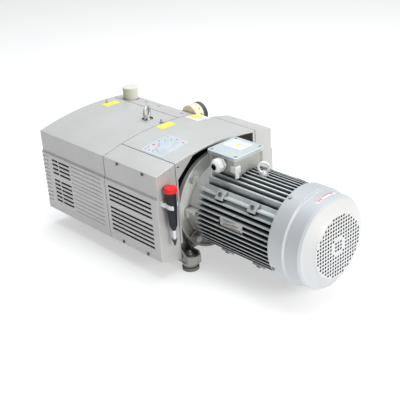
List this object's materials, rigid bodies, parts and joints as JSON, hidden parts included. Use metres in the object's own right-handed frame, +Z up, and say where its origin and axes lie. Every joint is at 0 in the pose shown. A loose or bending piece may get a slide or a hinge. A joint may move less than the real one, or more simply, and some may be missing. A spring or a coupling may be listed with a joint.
{
  "type": "rotary vane vacuum pump",
  "caption": "Dry rotary vane vacuum pump in a ribbed sound hood with louvred sides, driven by a flange-mounted finned motor with a terminal box and a perforated fan cowl.",
  "frame": {"origin": "centre of the four feet's bolt pattern, on the floor", "axes": "+X along the shaft from the pump to the motor's fan, +Y towards the port side, +Z up"},
  "size_m": [0.987, 0.4714, 0.3905],
  "materials": {
    "hood_paint": "satin metallic grey paint",
    "pump_iron": "cast iron, primed",
    "steel": "machined steel",
    "carbon": "dense carbon graphite, matt",
    "filter_shell": "grey painted sheet",
    "filter_paper": "pleated filter paper",
    "beige_plastic": "moulded beige plastic",
    "valve_brass": "turned brass",
    "black_plastic": "moulded black plastic",
    "zinc_steel": "zinc-plated steel",
    "foot_rubber": "moulded rubber",
    "spider_rubber": "hard rubber",
    "motor_paint": "grey paint on die-cast aluminium",
    "cowl_paint": "satin silver-grey paint",
    "box_paint": "grey paint on die-cast aluminium",
    "plate_metal": "plain metal plate",
    "gland_plastic": "moulded light grey plastic",
    "red_plastic": "moulded red plastic",
    "white_plastic": "moulded white plastic"
  },
  "bodies": {
    "machine": {"adapter_housing": "pump_iron", "bearing_outer_rings": "steel", "drive_end_shield": "pump_iron", "exhaust_silencer": "filter_shell", "fan_cowl": "cowl_paint", "flange_bolts": "zinc_steel", "foot_studs": "zinc_steel", "free_end_bearing_cap": "pump_iron", "free_end_shield": "pump_iron", "front_side_cover": "hood_paint", "gland_body": "gland_plastic", "gland_nut": "gland_plastic", "grease_gun_clip": "gland_plastic", "grease_nipples": "zinc_steel", "housing_screws": "zinc_steel", "inlet_filter_canister": "filter_shell", "inlet_filter_cartridge": "filter_paper", "inlet_manifold": "pump_iron", "lifting_eyebolt": "zinc_steel", "main_hood": "hood_paint", "motor_eyebolt": "zinc_steel", "motor_flange_shield": "motor_paint", "motor_frame": "motor_paint", "motor_nameplate": "plate_metal", "motor_rear_shield": "motor_paint", "pump_cylinder": "pump_iron", "rear_casing": "hood_paint", "rear_side_cover": "hood_paint", "relief_valve_body": "valve_brass", "rubber_feet": "foot_rubber", "service_strip": "hood_paint", "terminal_block": "black_plastic", "terminal_box": "box_paint", "terminal_box_lid": "box_paint", "top_cover": "hood_paint", "wound_stator": "steel"},
    "pump_rotor": {"pump_rotor": "pump_iron", "rotor_shaft": "steel", "pump_bearing_inner_rings_and_rollers": "steel", "coupling_hub_pump": "pump_iron", "coupling_spider": "spider_rubber", "coupling_fan": "black_plastic"},
    "motor_rotor": {"motor_rotor": "steel", "motor_bearing_inner_rings_and_balls": "steel", "coupling_hub_motor": "pump_iron", "motor_fan": "black_plastic"},
    "relief_knob": {"relief_valve_knob": "black_plastic"},
    "relief_poppet": {"relief_valve_poppet": "valve_brass", "relief_valve_spring": "steel"},
    "inlet_cap": {"inlet_cap": "beige_plastic"},
    "grease_gun": {"grease_gun_barrel": "black_plastic", "grease_gun_cap": "red_plastic", "grease_gun_nozzle": "white_plastic"},
    "vane_1": {"vane_1": "carbon"},
    "vane_2": {"vane_2": "carbon"},
    "vane_3": {"vane_3": "carbon"},
    "vane_4": {"vane_4": "carbon"},
    "vane_5": {"vane_5": "carbon"},
    "vane_6": {"vane_6": "carbon"},
    "vane_7": {"vane_7": "carbon"}
  },
  "joints": [
    {"name": "pump_rotor_spin", "type": "hinge", "parent": "machine", "child": "pump_rotor", "pos_m": [-0.138, 0, 0.171], "axis": [1, 0, 0], "continuous": true},
    {"name": "motor_rotor_spin", "type": "hinge", "parent": "machine", "child": "motor_rotor", "pos_m": [0.392, 0, 0.171], "axis": [1, 0, 0], "continuous": true},
    {"name": "vane_1_slide", "type": "slide", "parent": "pump_rotor", "child": "vane_1", "axis": [0, -0.4339, 0.901], "range_m": [0, 0.0017]},
    {"name": "vane_2_slide", "type": "slide", "parent": "pump_rotor", "child": "vane_2", "axis": [0, -0.9749, 0.2225], "range_m": [0, 0.0101]},
    {"name": "vane_3_slide", "type": "slide", "parent": "pump_rotor", "child": "vane_3", "axis": [0, 0.7818, 0.6235], "range_m": [-0.0219, 0]},
    {"name": "vane_4_slide", "type": "slide", "parent": "pump_rotor", "child": "vane_4", "axis": [0, 0, 1], "range_m": [-0.013, 0]},
    {"name": "vane_5_slide", "type": "slide", "parent": "pump_rotor", "child": "vane_5", "axis": [0, 0.7818, -0.6235], "range_m": [0, 0.005]},
    {"name": "vane_6_slide", "type": "slide", "parent": "pump_rotor", "child": "vane_6", "axis": [0, 0.9749, 0.2225], "range_m": [0, 0.0101]},
    {"name": "vane_7_slide", "type": "slide", "parent": "pump_rotor", "child": "vane_7", "axis": [0, 0.4339, 0.901], "range_m": [0, 0.0017]},
    {"name": "relief_knob_turn", "type": "hinge", "parent": "machine", "child": "relief_knob", "pos_m": [-0.023, 0.16, 0.326], "axis": [0, 1, 0], "range_deg": [-180, 180]},
    {"name": "relief_poppet_lift", "type": "slide", "parent": "machine", "child": "relief_poppet", "axis": [0, 1, 0], "range_m": [0, 0.003], "stiffness_N_per_m": 1500, "springref_m": -0.002},
    {"name": "inlet_cap_pull", "type": "slide", "parent": "machine", "child": "inlet_cap", "axis": [0, 0, 1], "range_m": [0, 0.15]},
    {"name": "grease_gun_lift", "type": "slide", "parent": "machine", "child": "grease_gun", "axis": [0, 0, 1], "range_m": [0, 0.2]}
  ],
  "couplings": [
    {"joint": "motor_rotor_spin", "follows": "pump_rotor_spin", "ratio": 1}
  ]
}
